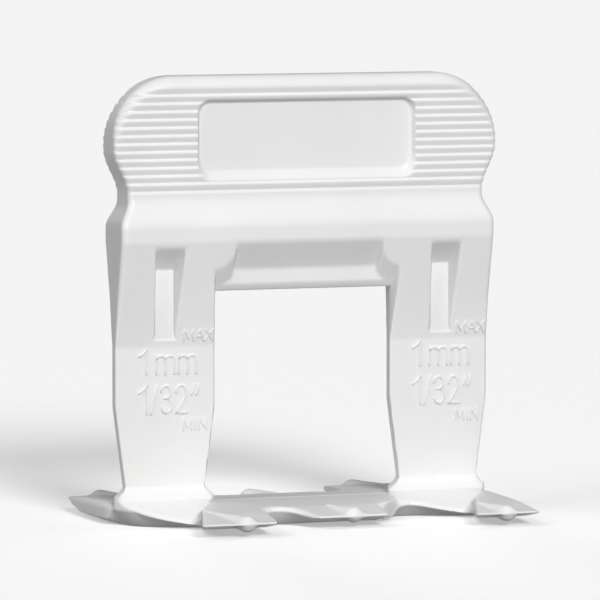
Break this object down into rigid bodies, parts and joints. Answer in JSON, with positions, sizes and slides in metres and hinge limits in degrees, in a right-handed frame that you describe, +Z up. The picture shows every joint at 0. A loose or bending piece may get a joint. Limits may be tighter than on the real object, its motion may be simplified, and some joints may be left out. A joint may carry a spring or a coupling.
{
  "type": "tile levelling clip",
  "caption": "White one-piece moulded tile levelling clip: ribbed grip, thin break-off blades either side of a wedge window, and a flat finned base that goes under the tile edges.",
  "frame": {"origin": "middle of the underside of the base, at the bottom centre of the bounding box", "axes": "+Z up along the blades, X along the grip and the tile joint, Y through the joint; the front is -Y"},
  "size_m": [0.0404, 0.0292, 0.0443],
  "materials": {
    "white_plastic": "satin white moulded polypropylene"
  },
  "bodies": {
    "root": {"levelling_clip": "white_plastic"}
  },
  "joints": []
}
